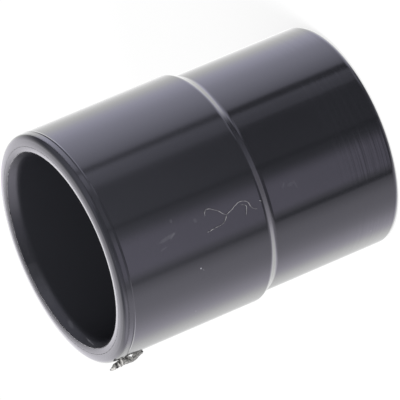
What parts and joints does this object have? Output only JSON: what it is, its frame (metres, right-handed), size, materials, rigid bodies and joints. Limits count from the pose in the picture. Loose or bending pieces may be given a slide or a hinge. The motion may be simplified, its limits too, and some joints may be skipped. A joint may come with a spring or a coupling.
{
  "type": "pvc reducer",
  "caption": "Straight reducing sleeve in dark grey plastic: a large spigot end and a slightly smaller socket end joined by a small bevelled step, open right through.",
  "frame": {"origin": "centre of the end face of the small socket end, on which the part stands", "axes": "+Z along the pipe axis, from the socket end up to the spigot end"},
  "size_m": [0.0502, 0.0502, 0.0665],
  "materials": {
    "grey_pvc": "smooth moulded PVC-U, dark grey, glossy"
  },
  "bodies": {
    "root": {"reducer_body": "grey_pvc"}
  },
  "joints": []
}
